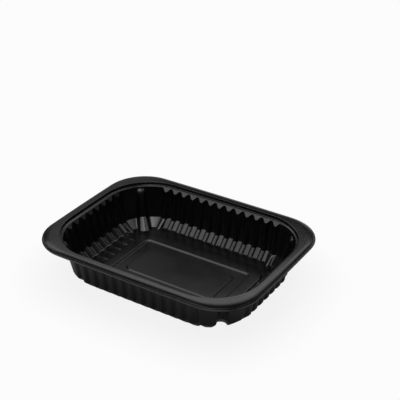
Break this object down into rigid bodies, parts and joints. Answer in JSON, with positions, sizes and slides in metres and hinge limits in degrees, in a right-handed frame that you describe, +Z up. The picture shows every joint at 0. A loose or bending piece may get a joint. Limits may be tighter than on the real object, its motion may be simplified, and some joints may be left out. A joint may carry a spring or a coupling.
{
  "type": "sealable food tray",
  "caption": "Open black plastic food tray with a wide sealing rim, pleated ribbed walls, corner stacking columns and a stepped floor.",
  "frame": {"origin": "on the table under the middle of the tray", "axes": "+X along the long side of the rim, +Y along the short side, +Z up out of the open top"},
  "size_m": [0.19, 0.144, 0.0365],
  "materials": {
    "black_plastic": "satin black polypropylene sheet, fine grain, soft highlights"
  },
  "bodies": {
    "root": {"tray": "black_plastic"}
  },
  "joints": []
}
